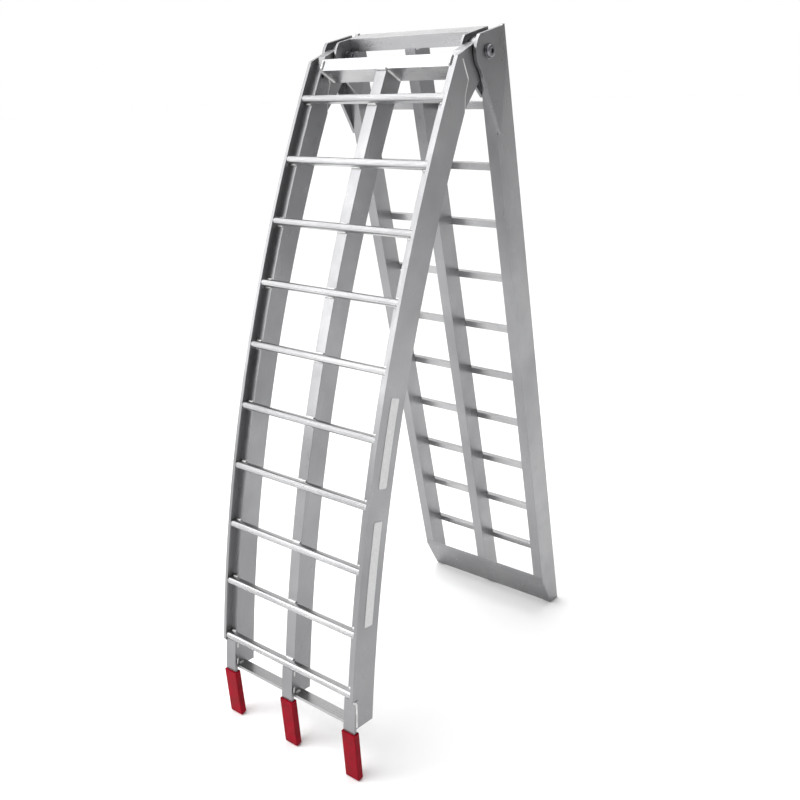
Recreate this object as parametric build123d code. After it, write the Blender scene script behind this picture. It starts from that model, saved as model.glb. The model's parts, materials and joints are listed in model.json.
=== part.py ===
from build123d import *
import math
import os

# Folding arched loading ramp in aluminium, standing as an A-frame on its two ends.
# Millimetres. X runs across the ramp, the front half leans towards -Y, the rear half
# towards +Y, and the floor is Z = 0.
#
# Each half is drawn hanging straight down from the hinge pin. In that drawing u runs
# down the half from the pin, and v runs from the pin towards the rungs. The front half
# is arched, the rear half is straight.

# ---- overall sizes ----
WIDTH = 294.0            # across the outer faces of the side rails
RAIL_W = 20.5            # rail tube, across
RAIL_D = 39.0            # rail tube, from underside to rung face
WALL = 2.0               # wall of the rail tubes and crossbars
LIP_W = 6.0              # kerb along the outer edge of each side rail
LIP_H = 12.5
SIDE_GAP = 0.3           # the front rails run this far inside the rear hinge plates
UNDERSIDE = 9.0          # from the hinge pin to the underside of the rails
ARCH_R = 2740.0          # radius of the rung face of the arched front half
FRONT_LEAN = 29.13       # angle of each half from the vertical, at the hinge
REAR_LEAN = 11.5
PIN_Y = 47.5             # hinge pin, with the footprint centred on the origin
PIN_Z = 1086.43          # and the lowest points of both halves on the floor

# ---- hinge end ----
BUTT_U = 28.0            # the crossbars meet on this line when the ramp is laid out
BUTT_GAP = 0.3
SCARF_ANGLE = 50.0       # slope of the slanted rail ends, from the square cut
SCARF_DISTANCE = 21.0    # from the pin to the slanted face
# The bracket meets the front rail along this line.
SEAM = ((38.5, 47.7), (56.8, 21.6), (80.0, 18.1), (99.4, 8.0))
BRACKET_INSET = 1.0      # the bracket is narrower than the rail, on each side
COPE_R = 38.5            # clearance for the inner hinge plates in the front crossbar
PIN_R = 6.0
PIN_CLEARANCE = 0.05
BUSH_R = 8.0
BRACKET_T = 3.0
OUTER_PLATE_T = 6.0
INNER_PLATE_T = 5.0
PLATE_NOSE_R = 33.0      # round nose of a hinge plate, about the pin
PLATE_NOSE_TURN = 20.0   # a point half-way round the nose
PLATE_LEAVE_TURN = 50.0  # where the nose ends
PLATE_SHOULDER = 0.2     # share of the plate's length with its full depth
PLATE_MARGIN = 2.0       # the plate stops this short of the rail's two faces
OUTER_PLATE_TIP_U = 128.0
INNER_PLATE_TIP_U = 70.0
HEEL_KNEE = (56.0, -4.0)
TOE_ANGLE = 38.0         # where the round nose of the bracket ends
HEAD_R = 10.0
HEAD_H = 5.0
HEAD_ROUND = 3.5
SOCKET_R = 4.0
SOCKET_DEPTH = 3.0
WASHER_R = 11.0
WASHER_T = 1.5
NUT_FLATS = 18.0
NUT_H = 11.0
BOLT_END = 3.0

# ---- rungs ----
RUNG_COUNT = 10
RUNG_W = 12.0            # along the rail
RUNG_H = 12.5            # above the rung face of the rail
RIB_DEPTH = 0.7
RIB_PITCH = 1.9
FRONT_RUNG_1 = 99.3
FRONT_PITCH = 101.2
REAR_RUNG_1 = 91.0
REAR_PITCH = 100.0

# ---- far ends ----
FRONT_END = 1070.0
REAR_HEEL_U = 1042.0     # the ground plate runs from here on the underside ...
REAR_TOE = (1113.0, 32.0)  # ... to here, and the rail end is cut from here ...
REAR_END = 1121.0        # ... to here at the top of the kerb
GROUND_PLATE_T = 4.0
END_PLATE_T = 4.5
END_PLATE_D = 21.0       # from the rung face towards the underside
FINGER_W = 22.5
FINGER_T = 6.0
FINGER_START = 1019.0
FINGER_BEND_U = 1073.0
FINGER_BEND = 9.0
SLEEVE_TOP = 5.0         # from the bend to the mouth of the sleeve
SLEEVE_L = 90.0
SLEEVE_WALL = 3.0
SLEEVE_SIDE_WALL = 2.5
SLEEVE_CORNER_R = 1.5
SLEEVE_TIP = 5.0
SLEEVE_CHAMFER = 2.2
HOLE_R = 3.0             # drilled hole in the inner wall of each front side rail
HOLE_UV = (54.0, 41.0)
CUT = 60.0               # cutting blocks reach this far beyond what they cut

# ---- worked out from the above ----
FACE = UNDERSIDE + RAIL_D
LIP_TOP = FACE + LIP_H
HALF = WIDTH / 2
SCARF_N = (-math.cos(math.radians(SCARF_ANGLE)), math.sin(math.radians(SCARF_ANGLE)))
FRONT = -1
REAR = 1


def yz(side, u, v):
    """Drawing coordinates of a point (u, v) of the front or rear half."""
    return (side * v, -u)


def prism(side, points, x0, x1):
    """Solid with a straight-edged side view, from x0 to x1."""
    outline = Polyline(*[yz(side, u, v) for u, v in points], close=True)
    return Pos(x0, 0, 0) * extrude(Plane.YZ * make_face(outline), x1 - x0)


def disc(side, u, v, radius, x0, x1):
    """Round bar or hole along X."""
    y, z = yz(side, u, v)
    return Pos(x0, y, z) * extrude(Plane.YZ * Circle(radius), x1 - x0)


def arch_point(u, height):
    """Point at arc length u along the arched front half, height above its rung face."""
    angle = u / ARCH_R
    radius = ARCH_R + height
    return (radius * math.sin(angle), FACE - ARCH_R + radius * math.cos(angle))


def arch_band(low, high, u0, u1, x0, x1):
    """Curved bar between two heights above the rung face, from arc length u0 to u1."""
    middle = (u0 + u1) / 2
    a, b, c = [yz(FRONT, *arch_point(u, low)) for u in (u0, middle, u1)]
    d, e, f = [yz(FRONT, *arch_point(u, high)) for u in (u0, middle, u1)]
    outline = ThreePointArc(a, b, c) + Line(c, f) + ThreePointArc(f, e, d) + Line(d, a)
    return Pos(x0, 0, 0) * extrude(Plane.YZ * make_face(outline), x1 - x0)


def on_arch(u, solid):
    """Carry a solid drawn at u = 0 on the rung face to arc length u of the arch."""
    y, z = yz(FRONT, *arch_point(u, 0))
    lean = math.degrees(u / ARCH_R)
    return Pos(0, y, z) * Rot(X=lean) * Pos(0, FACE, 0) * solid


def scarf_half_plane(side, offset, x0, x1):
    """Block on the far side of the slanted meeting face, offset from it."""
    along = (SCARF_N[1], -SCARF_N[0])
    reach = 2000.0
    distance = SCARF_DISTANCE + offset
    corners = []
    for a, b in ((-reach, 0), (reach, 0), (reach, reach), (-reach, reach)):
        u = along[0] * a + SCARF_N[0] * (b + distance)
        v = along[1] * a + SCARF_N[1] * (b + distance)
        corners.append((u if side == FRONT else -u, v))
    return prism(side, corners, x0, x1)


def rail_span(name):
    """Outer and inner faces of the tube, as x0 and x1, for a left, centre or right rail."""
    if name == "left":
        return -HALF, -HALF + RAIL_W
    if name == "right":
        return HALF - RAIL_W, HALF
    return -RAIL_W / 2, RAIL_W / 2


def lip_span(name):
    """The kerb stands on the outer edge of a side rail."""
    if name == "left":
        return -HALF, -HALF + LIP_W
    return HALF - LIP_W, HALF


# ---- front half ----
def front_rail_span(name):
    """The front side rails sit a little inside, to pass between the hinge plates."""
    x0, x1 = rail_span(name)
    if name == "left":
        return x0 + SIDE_GAP, x1
    if name == "right":
        return x0, x1 - SIDE_GAP
    return x0, x1


def front_rail(name):
    """Arched rectangular tube; a side rail has a kerb that the rungs butt against."""
    x0, x1 = front_rail_span(name)
    top = BUTT_U + BUTT_GAP
    start = top + RAIL_W if name == "centre" else 0.0
    rail = arch_band(-RAIL_D, 0, start, FRONT_END, x0, x1)
    rail -= arch_band(-RAIL_D + WALL, -WALL, start - 1, FRONT_END + 1, x0 + WALL, x1 - WALL)
    if name == "centre":
        return rail - prism(FRONT, [(0, 0), (start, 0), (start, LIP_TOP), (0, LIP_TOP)], x0 - 1, x1 + 1)
    lip0, lip1 = lip_span(name)
    lip0, lip1 = max(lip0, x0), min(lip1, x1)
    rail += arch_band(0, LIP_H, 0, FINGER_START - 1, lip0, lip1)
    rail -= scarf_half_plane(FRONT, 0, x0 - 1, x1 + 1)
    rail -= prism(FRONT, seam_outline(), x0 - 1, x1 + 1)
    inner = x1 if name == "left" else x0
    rail -= disc(FRONT, *HOLE_UV, HOLE_R, inner - WALL - 1, inner + WALL + 1)
    return rail


def crossbar(side, u0, span):
    """Rectangular tube joining the side rails at the hinge end."""
    block = prism(side, [(u0, UNDERSIDE), (u0 + RAIL_W, UNDERSIDE),
                         (u0 + RAIL_W, FACE), (u0, FACE)], -span, span)
    u1 = u0 + WALL
    u2 = u0 + RAIL_W - WALL
    v1 = UNDERSIDE + WALL
    v2 = FACE - WALL
    return block - prism(side, [(u1, v1), (u2, v1), (u2, v2), (u1, v2)], -span - 1, span + 1)


def front_crossbar():
    """Its ends are coped to clear the inner hinge plates."""
    span = HALF - RAIL_W
    bar = crossbar(FRONT, BUTT_U + BUTT_GAP, span)
    cope = span - INNER_PLATE_T - SIDE_GAP
    bar -= disc(FRONT, 0, 0, COPE_R, cope, span + 1)
    bar -= disc(FRONT, 0, 0, COPE_R, -span - 1, -cope)
    return bar


def seam_outline():
    """Side view of what the bracket fills at the end of the front rail."""
    return [(0, FACE), *SEAM, (SEAM[-1][0], 0), (0, 0)]


def front_bracket(name):
    """Formed channel, closed on its rung side, that carries the front rail to the pin."""
    x0, x1 = rail_span(name)
    x0 += BRACKET_INSET
    x1 -= BRACKET_INSET
    turn = math.radians(TOE_ANGLE)
    toe = (SCARF_DISTANCE * math.cos(turn), -SCARF_DISTANCE * math.sin(turn))
    body = [(0, FACE), *SEAM, HEEL_KNEE, toe, (0, 0)]
    solid = prism(FRONT, body, x0, x1)
    solid &= arch_band(-RAIL_D - CUT, 0, -CUT, SEAM[-1][0] + CUT, x0, x1)
    solid += disc(FRONT, 0, 0, SCARF_DISTANCE, x0, x1)
    solid -= scarf_half_plane(FRONT, 0, x0 - 1, x1 + 1)
    hollow = prism(FRONT, body, x0 + BRACKET_T, x1 - BRACKET_T)
    hollow += disc(FRONT, 0, 0, SCARF_DISTANCE + 1, x0 + BRACKET_T, x1 - BRACKET_T)
    hollow -= scarf_half_plane(FRONT, -BRACKET_T, x0, x1)
    lid = FACE - BRACKET_T
    end = SEAM[1][0]
    hollow -= prism(FRONT, [(0, lid), (end, lid), (end, LIP_TOP), (0, LIP_TOP)], x0, x1)
    solid -= hollow
    solid -= disc(FRONT, 0, 0, BUSH_R, x0 - 1, x1 + 1)
    return solid


def pivot_bush(name):
    """Sleeve through the bracket that turns on the pivot bolt."""
    x0, x1 = rail_span(name)
    bush = disc(FRONT, 0, 0, BUSH_R, x0 + SIDE_GAP, x1 - SIDE_GAP)
    return bush - disc(FRONT, 0, 0, PIN_R + PIN_CLEARANCE, x0 - 1, x1 + 1)


def front_end_plate(name):
    """Flat strip between two rails at the finger end, on the rung side."""
    x0, x1 = (-HALF + RAIL_W, -RAIL_W / 2) if name == "left" else (RAIL_W / 2, HALF - RAIL_W)
    return arch_band(-END_PLATE_D, 0, FRONT_END - END_PLATE_T, FRONT_END, x0, x1)


def finger_axis():
    """Bend point and direction of the finger, on the underside of the flat bar."""
    start = arch_point(FINGER_BEND_U, 0)
    angle = FINGER_BEND_U / ARCH_R + math.radians(FINGER_BEND)
    return start, (math.cos(angle), -math.sin(angle)), (math.sin(angle), math.cos(angle))


def finger_x(name):
    """Middle of the finger across the ramp; side fingers are flush with the outer faces."""
    return {"left": -HALF + FINGER_W / 2, "centre": 0.0, "right": HALF - FINGER_W / 2}[name]


def finger(name):
    """Flat bar along the rung face of the rail, bent towards the underside past its end."""
    x0 = finger_x(name) - FINGER_W / 2
    x1 = finger_x(name) + FINGER_W / 2
    bar = arch_band(0, FINGER_T, FINGER_START, FINGER_BEND_U, x0, x1)
    start, along, out = finger_axis()
    length = SLEEVE_TOP + SLEEVE_L - SLEEVE_TIP
    knee = arch_point(FINGER_BEND_U, FINGER_T)
    far = (start[0] + along[0] * length, start[1] + along[1] * length)
    tip = (far[0] + out[0] * FINGER_T, far[1] + out[1] * FINGER_T)
    outer_knee = (start[0] + out[0] * FINGER_T, start[1] + out[1] * FINGER_T)
    bar += prism(FRONT, [start, far, tip, outer_knee, knee], x0, x1)
    return bar


def sleeve(name):
    """Soft closed sleeve over the tip of a finger."""
    width = FINGER_W + 2 * SLEEVE_SIDE_WALL
    depth = FINGER_T + 2 * SLEEVE_WALL
    start, along, out = finger_axis()
    turn = math.degrees(math.atan2(along[1], along[0]))
    outer = Box(width, depth, SLEEVE_L)
    lowest = outer.faces().sort_by(Axis.Z)[0]
    outer = chamfer(lowest.edges(), SLEEVE_CHAMFER)
    outer = fillet(outer.edges().filter_by(Axis.Z), SLEEVE_CORNER_R)
    bore = Box(FINGER_W, FINGER_T, SLEEVE_L)
    shell = outer - Pos(0, 0, SLEEVE_TIP) * bore
    middle = SLEEVE_TOP + SLEEVE_L / 2
    u = start[0] + along[0] * middle + out[0] * FINGER_T / 2
    v = start[1] + along[1] * middle + out[1] * FINGER_T / 2
    y, z = yz(FRONT, u, v)
    return Pos(finger_x(name), y, z) * Rot(X=-turn) * shell


# ---- rungs ----
def rung(side):
    """Rounded bar with fine ribs along its tread, drawn at u = 0 on the rung face."""
    radius = RUNG_W / 2
    shoulder = FACE + RUNG_H - radius
    left = [yz(side, -radius, FACE), yz(side, -radius, shoulder)]
    right = [yz(side, radius, shoulder), yz(side, radius, FACE)]
    crown = yz(side, 0, FACE + RUNG_H)
    outline = Line(left[0], left[1]) + ThreePointArc(left[1], crown, right[0])
    outline += Line(right[0], right[1]) + Line(right[1], left[0])
    length = WIDTH - 2 * LIP_W
    bar = Pos(-length / 2, 0, 0) * extrude(Plane.YZ * make_face(outline), length)
    for k in (-1.5, -0.5, 0.5, 1.5):
        u = k * RIB_PITCH
        top = FACE + RUNG_H - radius + math.sqrt(radius ** 2 - u ** 2)
        half = RIB_PITCH / 4
        groove = [(u - half, top + 1), (u + half, top + 1), (u + half, top - RIB_DEPTH),
                  (u - half, top - RIB_DEPTH)]
        bar -= prism(side, groove, -HALF, HALF)
    return bar


# ---- rear half ----
def rear_end_cut():
    """Block beyond the ground plate and the end of the rear rails."""
    slope = math.atan2(REAR_TOE[1] - UNDERSIDE, REAR_TOE[0] - REAR_HEEL_U)
    lift = (-GROUND_PLATE_T * math.sin(slope), GROUND_PLATE_T * math.cos(slope))
    before = (REAR_HEEL_U + lift[0] - CUT * math.cos(slope), UNDERSIDE + lift[1] - CUT * math.sin(slope))
    plate_end = (REAR_TOE[0] + lift[0], REAR_TOE[1] + lift[1])
    grow = (REAR_END - REAR_TOE[0]) / (LIP_TOP - REAR_TOE[1])
    rail_end = (REAR_TOE[0] + grow * lift[1], REAR_TOE[1] + lift[1])
    above = (REAR_END + grow * CUT, LIP_TOP + CUT)
    far = above[0] + CUT
    return prism(REAR, [before, plate_end, rail_end, above, (far, above[1]), (far, -CUT),
                        (before[0], -CUT)], -HALF - 1, HALF + 1)


def rear_rail(name):
    """Straight rectangular tube; a side rail has a kerb and a slanted hinge end."""
    x0, x1 = rail_span(name)
    start = -BUTT_U + RAIL_W if name == "centre" else -BUTT_U
    end = REAR_END + 1
    rail = prism(REAR, [(start, UNDERSIDE), (end, UNDERSIDE), (end, FACE), (start, FACE)], x0, x1)
    u0 = start - 1
    v1 = UNDERSIDE + WALL
    v2 = FACE - WALL
    rail -= prism(REAR, [(u0, v1), (end + 1, v1), (end + 1, v2), (u0, v2)], x0 + WALL, x1 - WALL)
    if name != "centre":
        lip0, lip1 = lip_span(name)
        rail += prism(REAR, [(start, FACE), (end, FACE), (end, LIP_TOP), (start, LIP_TOP)], lip0, lip1)
        rail &= scarf_half_plane(REAR, BUTT_GAP + BRACKET_T, x0 - 1, x1 + 1)
    return rail - rear_end_cut()


def rear_scarf_cap(name):
    """Plate that closes the slanted hinge end of a rear side rail."""
    x0, x1 = rail_span(name)
    slab = scarf_half_plane(REAR, BUTT_GAP, x0, x1)
    slab -= scarf_half_plane(REAR, BUTT_GAP + BRACKET_T, x0 - 1, x1 + 1)
    window = prism(REAR, [(-BUTT_U, UNDERSIDE), (CUT, UNDERSIDE), (CUT, FACE), (-BUTT_U, FACE)], x0, x1)
    return slab & window


def hinge_plate(name, tip_u, thickness, outboard):
    """Teardrop plate welded to one side of a rear rail, with the pivot hole."""
    x0, x1 = rail_span(name)
    outer_face = x0 if name == "left" else x1
    inner_face = x1 if name == "left" else x0
    face = outer_face if outboard else inner_face
    step = -1 if (name == "left") == outboard else 1
    a, b = sorted((face, face + step * thickness))
    start = yz(REAR, -BUTT_U, -math.sqrt(PLATE_NOSE_R ** 2 - BUTT_U ** 2))
    round_nose = math.radians(PLATE_NOSE_TURN)
    nose = yz(REAR, -PLATE_NOSE_R * math.sin(round_nose), -PLATE_NOSE_R * math.cos(round_nose))
    leave = math.radians(PLATE_LEAVE_TURN)
    low = yz(REAR, PLATE_NOSE_R * math.cos(leave), -PLATE_NOSE_R * math.sin(leave))
    tip = yz(REAR, tip_u, UNDERSIDE + PLATE_MARGIN)
    shoulder = yz(REAR, PLATE_SHOULDER * tip_u, FACE - PLATE_MARGIN)
    corner = yz(REAR, -BUTT_U, FACE - PLATE_MARGIN)
    outline = ThreePointArc(start, nose, low)
    outline += Polyline(low, tip, shoulder, corner, start)
    plate = Pos(a, 0, 0) * extrude(Plane.YZ * make_face(outline), b - a)
    return plate - disc(REAR, 0, 0, PIN_R + PIN_CLEARANCE, a - 1, b + 1)


def ground_plate():
    """Flat plate on the slanted lower end, which lies on the ground under the ramp."""
    slope = math.atan2(REAR_TOE[1] - UNDERSIDE, REAR_TOE[0] - REAR_HEEL_U)
    lift = (-GROUND_PLATE_T * math.sin(slope), GROUND_PLATE_T * math.cos(slope))
    heel = (REAR_HEEL_U, UNDERSIDE)
    points = [heel, REAR_TOE, (REAR_TOE[0] + lift[0], REAR_TOE[1] + lift[1]),
              (REAR_HEEL_U - GROUND_PLATE_T / math.sin(slope), UNDERSIDE)]
    return prism(REAR, points, -HALF, HALF)


# ---- pivot hardware, fixed to the rear hinge plates ----
def mirrored(name, solid):
    """Parts are drawn for the right side; the left side is their mirror image."""
    return solid if name == "right" else mirror(solid, Plane.YZ)


def pivot_bolt(name):
    """Button-head bolt from the outside, through both plates and the bush."""
    outside = HALF + OUTER_PLATE_T + WASHER_T
    inside = HALF - RAIL_W - INNER_PLATE_T - WASHER_T - NUT_H - BOLT_END
    shank = disc(REAR, 0, 0, PIN_R, inside, outside)
    head = disc(REAR, 0, 0, HEAD_R, outside, outside + HEAD_H)
    rim = head.edges().filter_by(GeomType.CIRCLE).sort_by(Axis.X)[-1]
    head = fillet(rim, HEAD_ROUND)
    hexagon = Plane.YZ * RegularPolygon(SOCKET_R, 6)
    socket = Pos(outside + HEAD_H - SOCKET_DEPTH, 0, 0) * extrude(hexagon, SOCKET_DEPTH + 1)
    return mirrored(name, shank + head - socket)


def pivot_washers(name):
    """One washer under the head and one under the nut."""
    outer = disc(REAR, 0, 0, WASHER_R, HALF + OUTER_PLATE_T, HALF + OUTER_PLATE_T + WASHER_T)
    inner_x = HALF - RAIL_W - INNER_PLATE_T
    inner = disc(REAR, 0, 0, WASHER_R, inner_x - WASHER_T, inner_x)
    hole = disc(REAR, 0, 0, PIN_R + PIN_CLEARANCE, inner_x - CUT, HALF + CUT)
    return mirrored(name, Compound(children=[outer - hole, inner - hole]))


def pivot_nut(name):
    """Hexagon lock nut on the inner side."""
    x1 = HALF - RAIL_W - INNER_PLATE_T - WASHER_T
    body = extrude(Plane.YZ * RegularPolygon(NUT_FLATS / 2, 6, major_radius=False), NUT_H)
    nut = Pos(x1 - NUT_H, 0, 0) * body
    return mirrored(name, nut - disc(REAR, 0, 0, PIN_R, x1 - NUT_H - 1, x1 + 1))


def stand(side, solid):
    """Lean a half away from the hinge and lift the pin to its standing height."""
    lean = FRONT_LEAN if side == FRONT else REAR_LEAN
    return Pos(0, PIN_Y, PIN_Z) * Rot(X=side * lean) * solid


def build():
    """Every piece by name, in its standing place."""
    parts = {}
    for name in ("left", "centre", "right"):
        parts[f"front_rail_{name}"] = stand(FRONT, front_rail(name))
        parts[f"rear_rail_{name}"] = stand(REAR, rear_rail(name))
        parts[f"finger_{name}"] = stand(FRONT, finger(name))
        parts[f"finger_sleeve_{name}"] = stand(FRONT, sleeve(name))
    for name in ("left", "right"):
        parts[f"front_hinge_bracket_{name}"] = stand(FRONT, front_bracket(name))
        parts[f"pivot_bush_{name}"] = stand(FRONT, pivot_bush(name))
        parts[f"front_end_plate_{name}"] = stand(FRONT, front_end_plate(name))
        parts[f"rear_end_cap_{name}"] = stand(REAR, rear_scarf_cap(name))
        outer = hinge_plate(name, OUTER_PLATE_TIP_U, OUTER_PLATE_T, True)
        inner = hinge_plate(name, INNER_PLATE_TIP_U, INNER_PLATE_T, False)
        parts[f"hinge_plate_outer_{name}"] = stand(REAR, outer)
        parts[f"hinge_plate_inner_{name}"] = stand(REAR, inner)
        parts[f"pivot_bolt_{name}"] = stand(REAR, pivot_bolt(name))
        parts[f"pivot_washers_{name}"] = stand(REAR, pivot_washers(name))
        parts[f"pivot_nut_{name}"] = stand(REAR, pivot_nut(name))
    parts["front_crossbar"] = stand(FRONT, front_crossbar())
    parts["rear_crossbar"] = stand(REAR, crossbar(REAR, -BUTT_U, HALF - RAIL_W - INNER_PLATE_T))
    parts["ground_plate"] = stand(REAR, ground_plate())
    for i in range(RUNG_COUNT):
        front = on_arch(FRONT_RUNG_1 + i * FRONT_PITCH, rung(FRONT))
        parts[f"front_rung_{i + 1:02d}"] = stand(FRONT, front)
        rear = Pos(0, 0, -(REAR_RUNG_1 + i * REAR_PITCH)) * rung(REAR)
        parts[f"rear_rung_{i + 1:02d}"] = stand(REAR, rear)
    return parts


os.makedirs("parts", exist_ok=True)
for node, solid in build().items():
    export_step(solid, f"parts/{node}.step")
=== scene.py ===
import json
import math

import bpy
from mathutils import Matrix, Vector


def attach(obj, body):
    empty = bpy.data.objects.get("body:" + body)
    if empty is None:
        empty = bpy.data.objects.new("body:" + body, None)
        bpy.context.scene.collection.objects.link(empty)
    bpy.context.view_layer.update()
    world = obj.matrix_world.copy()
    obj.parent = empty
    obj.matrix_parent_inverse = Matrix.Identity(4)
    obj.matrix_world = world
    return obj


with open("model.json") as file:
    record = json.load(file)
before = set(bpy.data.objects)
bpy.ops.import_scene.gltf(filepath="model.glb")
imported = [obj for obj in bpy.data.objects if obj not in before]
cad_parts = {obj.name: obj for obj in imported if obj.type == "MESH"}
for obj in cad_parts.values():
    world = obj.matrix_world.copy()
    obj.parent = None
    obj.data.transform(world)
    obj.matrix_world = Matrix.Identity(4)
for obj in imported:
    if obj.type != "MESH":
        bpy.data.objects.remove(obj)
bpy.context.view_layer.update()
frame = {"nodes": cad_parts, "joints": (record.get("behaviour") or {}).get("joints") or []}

# Folding arched loading ramp: welds, stickers, edges and materials over the CAD parts.
# Metres. Each half is drawn as in the CAD source: s or u runs down the half from the
# hinge pin, h is the height above the rung face of the rails, and X runs across.

# ---- sizes shared with the CAD ----
PIN = Vector(frame["joints"][0]["pos_m"])
FRONT = -1
REAR = 1
LEAN = {FRONT: math.radians(29.13), REAR: math.radians(11.5)}
ARCH_R = 2.740
ARCH_MIDDLE = 11         # degrees that the arch has turned at its middle
FACE = 0.048
RAIL_W = 0.0205
RAIL_D = 0.039
LIP_W = 0.006
HALF_W = 0.147
SIDE_GAP = 0.0003
RUNG_COUNT = 10
RUNG_W = 0.012
FIRST_RUNG = {FRONT: 0.0993, REAR: 0.091}
RUNG_PITCH = {FRONT: 0.1012, REAR: 0.100}
BODY = {FRONT: "front_section", REAR: "rear_section"}
SIDE_NAME = {FRONT: "front", REAR: "rear"}
BUTT_U = {FRONT: 0.0283, REAR: -0.028}
SEAM = ((0.0385, 0.0477), (0.0568, 0.0216), (0.080, 0.0181), (0.0994, 0.009))
BRACKET_INSET = 0.001
INNER_PLATE_T = 0.005
OUTER_TIP = 0.128
INNER_TIP = 0.070
PLATE_SHOULDER = 0.2
PLATE_MARGIN = 0.002
FRONT_END = 1.070
END_PLATE_T = 0.0045
FINGER_W = 0.0225
FINGER_START = 1.019

# ---- light levels ----
BRIGHT_SIDE = 1.0
BRIGHT_UP_TO = -0.20     # X of a direction into the room where it starts to dim
DIM_FROM = 0.45          # and where it is fully dim
DIM_SIDE = 0.38

# ---- edges ----
EDGE_ROUND = 0.0005
SLEEVE_ROUND = 0.0012
EDGE_ANGLE = 35          # degrees, sharper corners than this are rounded
SEAM_GAP = 0.00001       # points of a CAD mesh closer than this are merged

# ---- weld beads ----
RUNG_BEAD_R = 0.0023
CROSSBAR_BEAD_R = 0.0031
BRACKET_BEAD_R = 0.0014
PLATE_BEAD_R = 0.0020
END_BEAD_R = 0.0029
FINGER_BEAD_R = 0.0021
BEAD_RISE = 0.0004       # middle of a rung's bead, out from the rung and from the rail
BEAD_INSET = 0.0015      # a rung's beads stop this short of the edges of a rail
END_INSET = 0.002        # a crossbar's beads stop this short of its far edges
CORNER_INSET = 0.001     # and this short of the corner where two of them meet
BRACKET_PASSES = (0.0004, 0.0022)        # the two passes lie this far back from the seam
BRACKET_BEAD_IN = (0.0006, 0.0004)       # the outer and inner beads lie this much further in
PLATE_RUNS = ((0.06, 0.34), (0.52, 0.80))  # parts of a hinge plate's back edge with a bead, 0 to 1
PLATE_BEAD_OUT = 0.0006  # these beads lie this far out from the sides of the rail
END_BEAD_SPAN = (-0.015, -0.004)         # heights of their two ends, from the rung face
FINGER_BEAD_INSET = 0.003  # the top bead of a finger stops this short of its sides
FINGER_BEAD_H = 0.001    # and is this far above the rung face
FINGER_BEAD_SINK = 0.001  # the side dabs are this far inside the finger's sides
RIPPLE = 0.0026          # length of one ripple of a bead
BEAD_SIDES = 8
BEAD_STEPS = 5           # rings per ripple
BEAD_TIP = 0.02          # size of a bead at its very ends, of its full size
RIPPLE_LOW, RIPPLE_RISE = 0.86, 0.14     # size between ripples, and what a ripple adds
WANDER, WANDER_RATE = 0.4, 60            # how far the ripples stray from even, and how often

# ---- two plain stickers on the outer side of the right front rail ----
STICKER_T = 0.0002
STICKER_H = -0.0150      # their middle, from the rung face
STICKER_W = 0.0200
STICKER_CORNER = 0.0040
STICKER_BORDER = 0.0011
STICKER_STEP = 0.0008
STICKER_COLUMNS = 24
SPANS = {"upper_sticker": (0.540, 0.680), "lower_sticker": (0.730, 0.900)}


# ---- places on the two halves ----
def place(side, x, u, v):
    """World place of a point drawn at (u, v) on the front or rear half."""
    y, z = side * v, -u
    angle = LEAN[side] * side
    turned = (y * math.cos(angle) - z * math.sin(angle), y * math.sin(angle) + z * math.cos(angle))
    return Vector((x, PIN.y + turned[0], PIN.z + turned[1]))


def on_rail(side, x, s, h):
    """World place at length s along a half and height h above its rung face."""
    if side == REAR:
        return place(side, x, s, FACE + h)
    turn = s / ARCH_R
    radius = ARCH_R + h
    return place(side, x, radius * math.sin(turn), FACE - ARCH_R + radius * math.cos(turn))


def rail_middle(name):
    """X of the middle of a rail."""
    return {"left": -HALF_W + RAIL_W / 2, "centre": 0.0, "right": HALF_W - RAIL_W / 2}[name]


# ---- mesh helpers ----
def new_object(name, verts, faces, materials, body, face_materials=None, smooth=True):
    """A mesh piece that rides on one body of the ramp."""
    mesh = bpy.data.meshes.new(name)
    mesh.from_pydata([tuple(v) for v in verts], [], faces)
    for material in materials:
        mesh.materials.append(material)
    for polygon in mesh.polygons:
        polygon.use_smooth = smooth
        if face_materials:
            polygon.material_index = face_materials[polygon.index]
    mesh.update()
    piece = bpy.data.objects.new(name, mesh)
    bpy.context.scene.collection.objects.link(piece)
    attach(piece, body)
    return piece


def resample(points, step):
    """Evenly spaced points and their distances along a polyline."""
    marks = [0.0]
    for a, b in zip(points, points[1:]):
        marks.append(marks[-1] + (b - a).length)
    count = max(4, round(marks[-1] / step))
    out = []
    leg = 0
    for i in range(count + 1):
        distance = marks[-1] * i / count
        while leg < len(points) - 2 and distance > marks[leg + 1]:
            leg += 1
        share = (distance - marks[leg]) / (marks[leg + 1] - marks[leg])
        out.append((points[leg].lerp(points[leg + 1], share), distance))
    return out, marks[-1]


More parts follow.
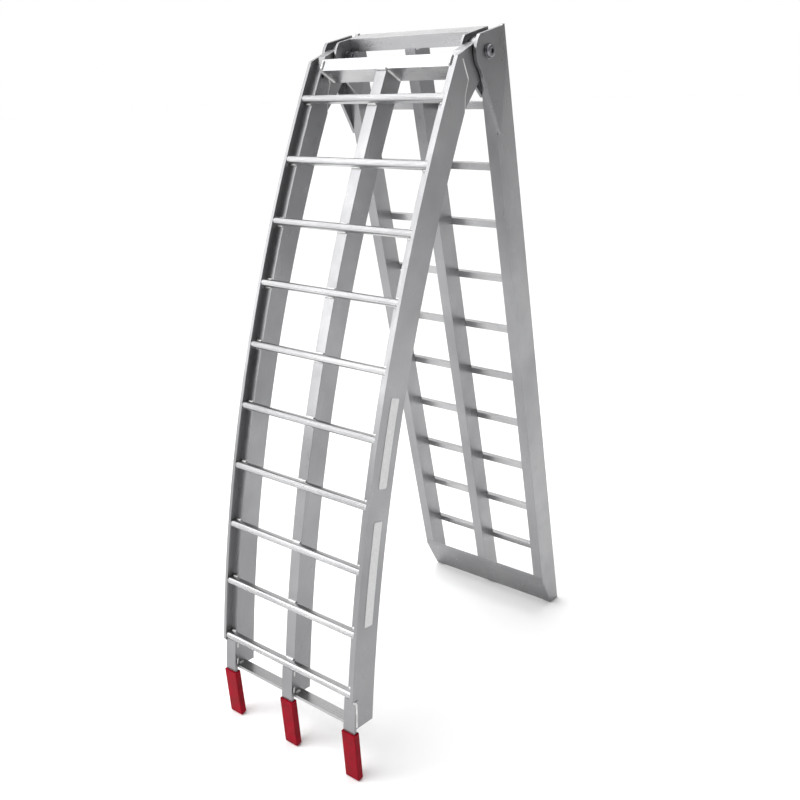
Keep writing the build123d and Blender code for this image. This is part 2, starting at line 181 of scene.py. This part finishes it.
def add_bead(verts, faces, points, radius):
    """A rippled weld bead with rounded ends along a polyline."""
    rings, length = resample(points, RIPPLE / BEAD_STEPS)
    first = len(verts)
    for i, (point, distance) in enumerate(rings):
        after = rings[min(i + 1, len(rings) - 1)][0]
        before = rings[max(i - 1, 0)][0]
        along = (after - before).normalized()
        across = along.orthogonal().normalized()
        other = along.cross(across)
        end = min(distance, length - distance)
        taper = math.sqrt(max(0.0, 1 - (1 - min(1.0, end / radius)) ** 2))
        stray = WANDER * math.sin(WANDER_RATE * distance)
        wave = RIPPLE_LOW + RIPPLE_RISE * abs(math.sin(math.pi * distance / RIPPLE + stray))
        size = radius * max(BEAD_TIP, taper) * wave
        for k in range(BEAD_SIDES):
            angle = 2 * math.pi * k / BEAD_SIDES
            verts.append(point + (across * math.cos(angle) + other * math.sin(angle)) * size)
    for i in range(len(rings) - 1):
        for k in range(BEAD_SIDES):
            a = first + i * BEAD_SIDES + k
            b = first + i * BEAD_SIDES + (k + 1) % BEAD_SIDES
            faces.append((a, b, b + BEAD_SIDES, a + BEAD_SIDES))
    faces.append(tuple(first + k for k in reversed(range(BEAD_SIDES))))
    last = first + (len(rings) - 1) * BEAD_SIDES
    faces.append(tuple(last + k for k in range(BEAD_SIDES)))


def bead_piece(name, paths, side, radius):
    """All the beads of one kind on one half, as one piece."""
    verts, faces = [], []
    for path in paths:
        add_bead(verts, faces, path, radius)
    return new_object(name, verts, faces, [WELD], BODY[side])


# ---- materials ----
NOISE_LOW, NOISE_HIGH = 0.35, 0.65       # most of a noise texture lies between these


class Nodes:
    """Short way to build a node material."""

    def __init__(self, name):
        self.material = bpy.data.materials.new(name)
        self.material.use_nodes = True
        self.tree = self.material.node_tree
        self.shader = self.tree.nodes["Principled BSDF"]

    def add(self, kind, **values):
        node = self.tree.nodes.new(kind)
        for key, value in values.items():
            if key in node.inputs:
                node.inputs[key].default_value = value
            else:
                setattr(node, key, value)
        return node

    def link(self, out, into):
        self.tree.links.new(out, into)

    def place(self, turn=0.0, scale=(1, 1, 1)):
        """Object coordinates, turned about X to follow a half, then stretched."""
        coords = self.add("ShaderNodeTexCoord")
        turned = self.add("ShaderNodeMapping")
        turned.inputs["Rotation"].default_value = (turn, 0, 0)
        stretched = self.add("ShaderNodeMapping")
        stretched.inputs["Scale"].default_value = scale
        self.link(coords.outputs["Object"], turned.inputs["Vector"])
        self.link(turned.outputs["Vector"], stretched.inputs["Vector"])
        return stretched.outputs["Vector"]

    def noise(self, vector, scale, detail=3.0, roughness=0.5):
        node = self.add("ShaderNodeTexNoise", Scale=scale, Detail=detail, Roughness=roughness)
        self.link(vector, node.inputs["Vector"])
        return node.outputs["Fac"]

    def spread(self, value, low, high):
        """Map a noise value onto a range."""
        node = self.add("ShaderNodeMapRange")
        node.inputs["From Min"].default_value = NOISE_LOW
        node.inputs["From Max"].default_value = NOISE_HIGH
        node.inputs["To Min"].default_value = low
        node.inputs["To Max"].default_value = high
        self.link(value, node.inputs["Value"])
        return node.outputs["Result"]

    def colour(self, value, low, high):
        """Blend two colours by a value."""
        node = self.add("ShaderNodeMix", data_type="RGBA")
        for socket in node.inputs:
            if socket.name == "A" and socket.type == "RGBA":
                socket.default_value = (*low, 1)
            if socket.name == "B" and socket.type == "RGBA":
                socket.default_value = (*high, 1)
        self.link(value, node.inputs["Factor"])
        return [o for o in node.outputs if o.type == "RGBA"][0]

    def bump(self, value, strength, distance, after=None):
        node = self.add("ShaderNodeBump", Strength=strength, Distance=distance)
        self.link(value, node.inputs["Height"])
        if after:
            self.link(after, node.inputs["Normal"])
        return node.outputs["Normal"]

    def set(self, **values):
        for key, value in values.items():
            self.shader.inputs[key.replace("_", " ")].default_value = value


def aluminium(name, dark, light, rough, turn, grain):
    """Mill-finish metal with fine streaks along the piece and a mottled shine."""
    m = Nodes(name)
    streaks = m.noise(m.place(turn, grain), 1.0, 4.0, 0.6)
    mottle = m.noise(m.place(), 28.0, 4.0, 0.6)
    patches = m.noise(m.place(), 5.0, 2.0)
    base = m.colour(m.spread(patches, 0.0, 1.0), dark, light)
    m.link(base, m.shader.inputs["Base Color"])
    blend = m.add("ShaderNodeMath", operation="ADD")
    m.link(m.spread(streaks, -0.05, 0.05), blend.inputs[0])
    m.link(m.spread(mottle, rough - 0.05, rough + 0.05), blend.inputs[1])
    m.link(blend.outputs[0], m.shader.inputs["Roughness"])
    fine = m.bump(streaks, 0.25, 0.0002)
    m.link(m.bump(mottle, 0.12, 0.0006, fine), m.shader.inputs["Normal"])
    m.set(Metallic=1.0)
    return m.material


def weld_metal_painted_highlight():
    """Rippled bead with a faint heat tint, lighter than the rail metal: a painted highlight."""
    m = Nodes("weld_bead_painted_highlight")
    tint = m.noise(m.place(), 60.0, 3.0)
    # Much lighter than the rail aluminium: a painted highlight on the beads.
    base = m.colour(m.spread(tint, 0.0, 1.0), (0.54, 0.54, 0.53), (0.72, 0.72, 0.72))
    m.link(base, m.shader.inputs["Base Color"])
    pits = m.noise(m.place(), 900.0, 3.0)
    m.link(m.spread(pits, 0.28, 0.45), m.shader.inputs["Roughness"])
    m.link(m.bump(pits, 0.3, 0.0003), m.shader.inputs["Normal"])
    m.set(Metallic=1.0)
    return m.material


def zinc_painted_shade():
    """Plated steel of the pivot hardware, duller where the plating is worn, its base kept dark as painted
    shade on the bolt heads.
    """
    m = Nodes("zinc_plated_steel_painted_shade")
    worn = m.noise(m.place(), 160.0, 4.0, 0.6)
    # Dark base: painted shade on the bolt heads and washers.
    base = m.colour(m.spread(worn, 0.0, 1.0), (0.13, 0.13, 0.14), (0.30, 0.30, 0.32))
    m.link(base, m.shader.inputs["Base Color"])
    m.link(m.spread(worn, 0.42, 0.24), m.shader.inputs["Roughness"])
    m.link(m.bump(worn, 0.2, 0.0002), m.shader.inputs["Normal"])
    m.set(Metallic=1.0)
    return m.material


def red_vinyl():
    """Dipped soft vinyl of the finger sleeves, with a fine orange-peel skin."""
    m = Nodes("red_vinyl")
    cloud = m.noise(m.place(), 45.0, 3.0)
    base = m.colour(m.spread(cloud, 0.0, 1.0), (0.21, 0.001, 0.008), (0.30, 0.002, 0.014))
    m.link(base, m.shader.inputs["Base Color"])
    skin = m.noise(m.place(), 700.0, 3.0)
    m.link(m.spread(cloud, 0.48, 0.60), m.shader.inputs["Roughness"])
    m.link(m.bump(skin, 0.25, 0.0003), m.shader.inputs["Normal"])
    m.set(Specular_IOR_Level=0.08)
    return m.material


def printed(name, colour):
    """Printed vinyl film, slightly uneven and scuffed."""
    m = Nodes(name)
    scuff = m.noise(m.place(), 220.0, 5.0, 0.65)
    dull = tuple(0.86 * c + 0.02 for c in colour)
    m.link(m.colour(m.spread(scuff, 0.0, 1.0), dull, colour), m.shader.inputs["Base Color"])
    m.link(m.spread(scuff, 0.35, 0.50), m.shader.inputs["Roughness"])
    m.link(m.bump(scuff, 0.08, 0.0001), m.shader.inputs["Normal"])
    return m.material


def floor_paint():
    """Pale seamless studio floor."""
    m = Nodes("studio_floor")
    cloud = m.noise(m.place(), 2.0, 2.0)
    base = m.colour(m.spread(cloud, 0.0, 1.0), (0.88, 0.88, 0.88), (0.90, 0.90, 0.90))
    m.link(base, m.shader.inputs["Base Color"])
    m.set(Roughness=0.9)
    return m.material


FRONT_TURN = LEAN[FRONT] - math.radians(ARCH_MIDDLE)
RAIL_FRONT = aluminium("rail_aluminium_front", (0.26, 0.26, 0.268), (0.33, 0.33, 0.338), 0.34, FRONT_TURN,
                       (1200, 1200, 10))
RAIL_REAR = aluminium("rail_aluminium_rear", (0.26, 0.26, 0.268), (0.33, 0.33, 0.338), 0.34, -LEAN[REAR],
                      (1200, 1200, 10))
# Rungs, crossbars and end plates: the rail aluminium made lighter, a painted highlight for how brightly
# they catch the light.
CROSS_LIGHTER_PAINTED_HIGHLIGHT = aluminium("cross_aluminium_painted_highlight", (0.36, 0.36, 0.367), (0.46, 0.46, 0.467), 0.32, 0.0, (10, 1200, 1200))
# Hinge plates and other pieces: the rail aluminium made darker, painted shade.
PLATE_DARKER_PAINTED_SHADE = aluminium("plate_aluminium_painted_shade", (0.23, 0.23, 0.238), (0.30, 0.30, 0.308), 0.33, 0.0, (300, 300, 60))
WELD = weld_metal_painted_highlight()
STEEL_PAINTED_SHADE = zinc_painted_shade()
RED = red_vinyl()


def dress_cad_nodes():
    """Each CAD node gets its material, and its edges a small rounding that catches the light."""
    for name, node in frame["nodes"].items():
        if name.startswith("finger_sleeve"):
            material = RED
        elif name.startswith("pivot"):
            material = STEEL_PAINTED_SHADE
        elif "rung" in name or "crossbar" in name or "end_plate" in name:
            material = CROSS_LIGHTER_PAINTED_HIGHLIGHT
        elif "rail" in name:
            material = RAIL_FRONT if name.startswith("front") else RAIL_REAR
        elif name.startswith("finger"):
            material = RAIL_FRONT
        else:
            material = PLATE_DARKER_PAINTED_SHADE
        node.data.materials.clear()
        node.data.materials.append(material)
        soften(node, SLEEVE_ROUND if name.startswith("finger_sleeve") else EDGE_ROUND)


def soften(node, width):
    """Merge the shading seams of a CAD mesh, then round its edges."""
    weld = node.modifiers.new("merge", "WELD")
    weld.merge_threshold = SEAM_GAP
    bevel = node.modifiers.new("round", "BEVEL")
    bevel.width = width
    bevel.segments = 2
    bevel.limit_method = "ANGLE"
    bevel.angle_limit = math.radians(EDGE_ANGLE)
    bevel.use_clamp_overlap = True
    bevel.harden_normals = False
    for polygon in node.data.polygons:
        polygon.use_smooth = True
    smooth = node.modifiers.new("weighted", "WEIGHTED_NORMAL")
    smooth.keep_sharp = True


# ---- welds ----
def rung_welds(side):
    """Beads above and below each rung, on the rung face of each rail."""
    paths = []
    for i in range(RUNG_COUNT):
        s = FIRST_RUNG[side] + i * RUNG_PITCH[side]
        for name in ("left", "centre", "right"):
            middle = rail_middle(name)
            low, high = middle - RAIL_W / 2 + BEAD_INSET, middle + RAIL_W / 2 - BEAD_INSET
            if name == "left":
                low += LIP_W
            if name == "right":
                high -= LIP_W
            for edge in (-1, 1):
                at = s + edge * (RUNG_W / 2 + BEAD_RISE)
                paths.append([on_rail(side, x, at, BEAD_RISE) for x in (low, (low + high) / 2, high)])
    return bead_piece(f"{SIDE_NAME[side]}_rung_welds", paths, side, RUNG_BEAD_R)


def crossbar_welds(side):
    """Beads round the joints of the crossbar and the centre rail at the hinge end."""
    paths = []
    u0, u1 = BUTT_U[side], BUTT_U[side] + RAIL_W
    bottom = FACE - RAIL_D + END_INSET
    edge = HALF_W - RAIL_W
    if side == REAR:
        edge -= INNER_PLATE_T
    for x in (-edge, edge):
        paths.append([place(side, x, u0 + END_INSET, FACE), place(side, x, u1 - CORNER_INSET, FACE)])
        paths.append([place(side, x, u1, FACE - CORNER_INSET), place(side, x, u1, bottom)])
    for x in (-RAIL_W / 2, RAIL_W / 2):
        paths.append([place(side, x, u1, FACE - END_INSET), place(side, x, u1, bottom)])
    paths.append([place(side, -RAIL_W / 2, u1, FACE), place(side, RAIL_W / 2, u1, FACE)])
    return bead_piece(f"{SIDE_NAME[side]}_crossbar_welds", paths, side, CROSSBAR_BEAD_R)


def bracket_welds():
    """Two-pass beads in the step between the hinge brackets and the front rails."""
    paths = []
    outer_in, inner_in = BRACKET_BEAD_IN
    for sign in (-1, 1):
        for x in (HALF_W - BRACKET_INSET - outer_in, HALF_W - RAIL_W + BRACKET_INSET + inner_in):
            for back in BRACKET_PASSES:
                paths.append([place(FRONT, sign * x, u - back, v - back / 2) for u, v in SEAM])
    return bead_piece("bracket_welds", paths, FRONT, BRACKET_BEAD_R)


def hinge_plate_welds():
    """Beads along the slanted back edges of the hinge plates, on the rear rails."""
    paths = []
    plates = ((HALF_W + PLATE_BEAD_OUT, OUTER_TIP), (HALF_W - RAIL_W - PLATE_BEAD_OUT, INNER_TIP))
    for sign in (-1, 1):
        for x, tip in plates:
            ends = ((PLATE_SHOULDER * tip, FACE - PLATE_MARGIN), (tip, FACE - RAIL_D + PLATE_MARGIN))
            a, b = [place(REAR, sign * x, u, v) for u, v in ends]
            for low, high in PLATE_RUNS:
                paths.append([a.lerp(b, low), a.lerp(b, high)])
    return bead_piece("hinge_plate_welds", paths, REAR, PLATE_BEAD_R)


def end_plate_welds():
    """Short fat beads at the rung side of the joints between the end plates and the rails."""
    paths = []
    top = FRONT_END - END_PLATE_T
    for x in (-HALF_W + RAIL_W, -RAIL_W / 2, RAIL_W / 2, HALF_W - RAIL_W):
        paths.append([on_rail(FRONT, x, top, h) for h in END_BEAD_SPAN])
    return bead_piece("end_plate_welds", paths, FRONT, END_BEAD_R)


def finger_welds():
    """Dabs beside each finger bar, and a full bead along its outer edge on the side rails."""
    middles = {"left": -HALF_W + FINGER_W / 2, "centre": 0.0, "right": HALF_W - FINGER_W / 2}
    inner_sides = {"left": (1,), "centre": (-1, 1), "right": (-1,)}
    dabs = ((FINGER_START + 0.004, FINGER_START + 0.014), (FRONT_END - 0.018, FRONT_END - 0.006))
    outer = ((FINGER_START, 0.009), (FINGER_START + 0.006, 0.003), (FINGER_START + 0.026, 0.001),
             (FRONT_END - 0.003, 0.0))
    paths = []
    for name, middle in middles.items():
        ends = (middle - FINGER_W / 2 + FINGER_BEAD_INSET, middle + FINGER_W / 2 - FINGER_BEAD_INSET)
        paths.append([on_rail(FRONT, x, FINGER_START, FINGER_BEAD_H) for x in ends])
        for sign in inner_sides[name]:
            x = middle + sign * (FINGER_W / 2 - FINGER_BEAD_SINK)
            for first, last in dabs:
                paths.append([on_rail(FRONT, x, first, 0.0), on_rail(FRONT, x, last, 0.0)])
    for sign in (-1, 1):
        paths.append([on_rail(FRONT, sign * (HALF_W - SIDE_GAP), s, h) for s, h in outer])
    return bead_piece("finger_welds", paths, FRONT, FINGER_BEAD_R)


# ---- stickers ----
def sticker(name, top, end, materials):
    """Thin rounded film with a plain field and a plain border; materials are field and border."""
    x = HALF_W - SIDE_GAP + STICKER_T
    length = end - top
    rows, columns = round(length / STICKER_STEP), STICKER_COLUMNS

    def half_width(along):
        """Half the width at a length along the film, with round corners."""
        near = min(along, length - along)
        if near >= STICKER_CORNER:
            return STICKER_W / 2
        drop = STICKER_CORNER - math.sqrt(STICKER_CORNER ** 2 - (STICKER_CORNER - near) ** 2)
        return STICKER_W / 2 - drop

    verts, faces, slots = [], [], []
    for i in range(rows + 1):
        along = length * i / rows
        for k in range(columns + 1):
            across = (2 * k / columns - 1) * half_width(along)
            verts.append(on_rail(FRONT, x, top + along, STICKER_H + across))
    for i in range(rows):
        along = length * (i + 0.5) / rows
        for k in range(columns):
            a = i * (columns + 1) + k
            faces.append((a, a + 1, a + columns + 2, a + columns + 1))
            inset = half_width(along) * (1 - abs(2 * (k + 0.5) / columns - 1))
            edge = min(inset, along, length - along) < STICKER_BORDER
            slots.append(1 if edge else 0)
    piece = new_object(name, verts, faces, materials, "front_section", slots, smooth=False)
    thick = piece.modifiers.new("film", "SOLIDIFY")
    thick.thickness = STICKER_T
    thick.offset = 0.0


def stickers():
    """Plain generic stickers, with no mark and no lettering."""
    pale = printed("print_pale", (0.78, 0.78, 0.78))
    border = printed("print_border", (0.40, 0.41, 0.43))
    for name, (top, end) in SPANS.items():
        sticker(name, top, end, [pale, border])


# ---- stage ----
def floor():
    """Wide pale floor, not part of the ramp."""
    size = 30.0
    mesh = bpy.data.meshes.new("floor")
    corners = [(-size, -size, 0), (size, -size, 0), (size, size, 0), (-size, size, 0)]
    mesh.from_pydata(corners, [], [(0, 1, 2, 3)])
    mesh.materials.append(floor_paint())
    piece = bpy.data.objects.new("floor", mesh)
    bpy.context.scene.collection.objects.link(piece)


def softbox(name, place_at, target, width, height, power):
    """Rectangular area light aimed at a point."""
    light = bpy.data.lights.new(name, "AREA")
    light.shape = "RECTANGLE"
    light.size = width
    light.size_y = height
    light.energy = power
    lamp = bpy.data.objects.new(name, light)
    lamp.location = place_at
    lamp.rotation_mode = "QUATERNION"
    lamp.rotation_quaternion = (Vector(target) - Vector(place_at)).to_track_quat("-Z", "Y")
    bpy.context.scene.collection.objects.link(lamp)


def sky():
    """Pale room all round, shading to a dimmer side towards +X."""
    world = bpy.data.worlds.new("studio")
    world.use_nodes = True
    tree = world.node_tree
    coords = tree.nodes.new("ShaderNodeTexCoord")
    split = tree.nodes.new("ShaderNodeSeparateXYZ")
    shade = tree.nodes.new("ShaderNodeMapRange")
    shade.interpolation_type = "SMOOTHSTEP"
    shade.inputs["From Min"].default_value = BRIGHT_UP_TO
    shade.inputs["From Max"].default_value = DIM_FROM
    shade.inputs["To Min"].default_value = BRIGHT_SIDE
    shade.inputs["To Max"].default_value = DIM_SIDE
    tree.links.new(coords.outputs["Generated"], split.inputs["Vector"])
    tree.links.new(split.outputs["X"], shade.inputs["Value"])
    tree.links.new(shade.outputs["Result"], tree.nodes["Background"].inputs["Strength"])
    tree.nodes["Background"].inputs["Color"].default_value = (1, 1, 1, 1)
    bpy.context.scene.world = world


def sun(name, towards, strength, spread):
    """Even light over the whole floor, from a soft source spread over that many degrees."""
    light = bpy.data.lights.new(name, "SUN")
    light.energy = strength
    light.angle = math.radians(spread)
    lamp = bpy.data.objects.new(name, light)
    lamp.rotation_mode = "QUATERNION"
    lamp.rotation_quaternion = Vector(towards).to_track_quat("-Z", "Y")
    bpy.context.scene.collection.objects.link(lamp)


def studio_light():
    """A large soft key from the upper front left, a soft top light and an evenly lit floor."""
    softbox("key", place_at=(-1.7, -1.9, 1.65), target=(0, 0, 0.95), width=1.3, height=2.0, power=20)
    softbox("top", place_at=(-0.3, 0.6, 2.6), target=(0, 0.1, 0.4), width=1.6, height=1.6, power=25)
    sun("overhead", towards=(0.35, 0.45, -1.0), strength=1.7, spread=50)
    sky()
    bpy.context.scene.view_settings.view_transform = "Standard"


CAMERA_AT = (0.92728, -1.16413, 1.05866)
CAMERA_YAW, CAMERA_PITCH, CAMERA_ROLL = 0.67293, -0.34805, -0.03424
CAMERA_LENS, SENSOR = 40.42, 36.0


def camera():
    """Photographer's view: from the front right, near the height of the hinge, looking down."""
    ahead = Vector((-math.sin(CAMERA_YAW), math.cos(CAMERA_YAW), 0))
    right = Vector((math.cos(CAMERA_YAW), math.sin(CAMERA_YAW), 0))
    up = Vector((0, 0, 1))
    forward = ahead * math.cos(CAMERA_PITCH) + up * math.sin(CAMERA_PITCH)
    upward = -ahead * math.sin(CAMERA_PITCH) + up * math.cos(CAMERA_PITCH)
    level = right * math.cos(CAMERA_ROLL) + upward * math.sin(CAMERA_ROLL)
    upward = -right * math.sin(CAMERA_ROLL) + upward * math.cos(CAMERA_ROLL)
    lens = bpy.data.cameras.new("camera")
    lens.lens = CAMERA_LENS
    lens.sensor_width = SENSOR
    lens.clip_start = 0.05
    eye = bpy.data.objects.new("camera", lens)
    eye.location = CAMERA_AT
    eye.rotation_mode = "QUATERNION"
    eye.rotation_quaternion = Matrix((level, upward, -forward)).transposed().to_quaternion()
    bpy.context.scene.collection.objects.link(eye)
    bpy.context.scene.camera = eye


dress_cad_nodes()
for half in (FRONT, REAR):
    rung_welds(half)
    crossbar_welds(half)
bracket_welds()
hinge_plate_welds()
end_plate_welds()
finger_welds()
stickers()
floor()
studio_light()
camera()
